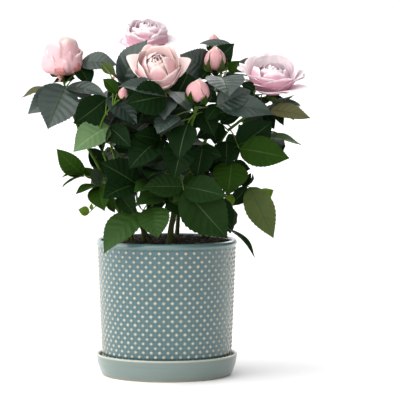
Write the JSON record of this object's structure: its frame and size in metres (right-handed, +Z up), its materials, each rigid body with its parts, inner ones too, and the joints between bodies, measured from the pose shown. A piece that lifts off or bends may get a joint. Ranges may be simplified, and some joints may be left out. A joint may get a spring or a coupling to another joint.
{
  "type": "potted rose",
  "caption": "Miniature rose bush with blooms and buds in a dotted glazed cover pot that stands on a shallow saucer.",
  "frame": {"origin": "centre of the saucer's flat underside", "axes": "+Z up along the pot's axis, -Y towards the front of the plant, +X to its right as seen from the front"},
  "size_m": [0.2844, 0.2283, 0.3545],
  "materials": {
    "saucer_glaze": "gloss",
    "pot_glaze": "gloss",
    "potting_soil": "matte",
    "stem_bark": "satin",
    "foliage": "satin",
    "blossom": "matte"
  },
  "bodies": {
    "root": {"saucer": "saucer_glaze", "pot": "pot_glaze", "soil": "potting_soil", "trunk": "stem_bark", "cane_left": "stem_bark", "cane_left_front": "stem_bark", "cane_low_left": "stem_bark", "cane_centre": "stem_bark", "cane_top": "stem_bark", "cane_right": "stem_bark", "cane_front": "stem_bark", "cane_upper_right": "stem_bark", "cane_back_left": "stem_bark", "cane_back": "stem_bark", "cane_back_right": "stem_bark", "leaves_left": "foliage", "leaves_left_front": "foliage", "leaves_low_left": "foliage", "leaves_low_front": "foliage", "leaves_low_centre": "foliage", "leaves_low_right": "foliage", "leaves_centre": "foliage", "leaves_top": "foliage", "leaves_front": "foliage", "leaves_right": "foliage", "leaves_upper_right": "foliage", "leaves_back_left": "foliage", "leaves_back": "foliage", "leaves_back_right": "foliage", "bloom_left": "blossom", "bloom_top": "blossom", "bloom_centre": "blossom", "bloom_right": "blossom", "bud_middle": "blossom", "bud_front": "blossom", "bud_small": "blossom", "bud_upper": "blossom"}
  },
  "joints": []
}
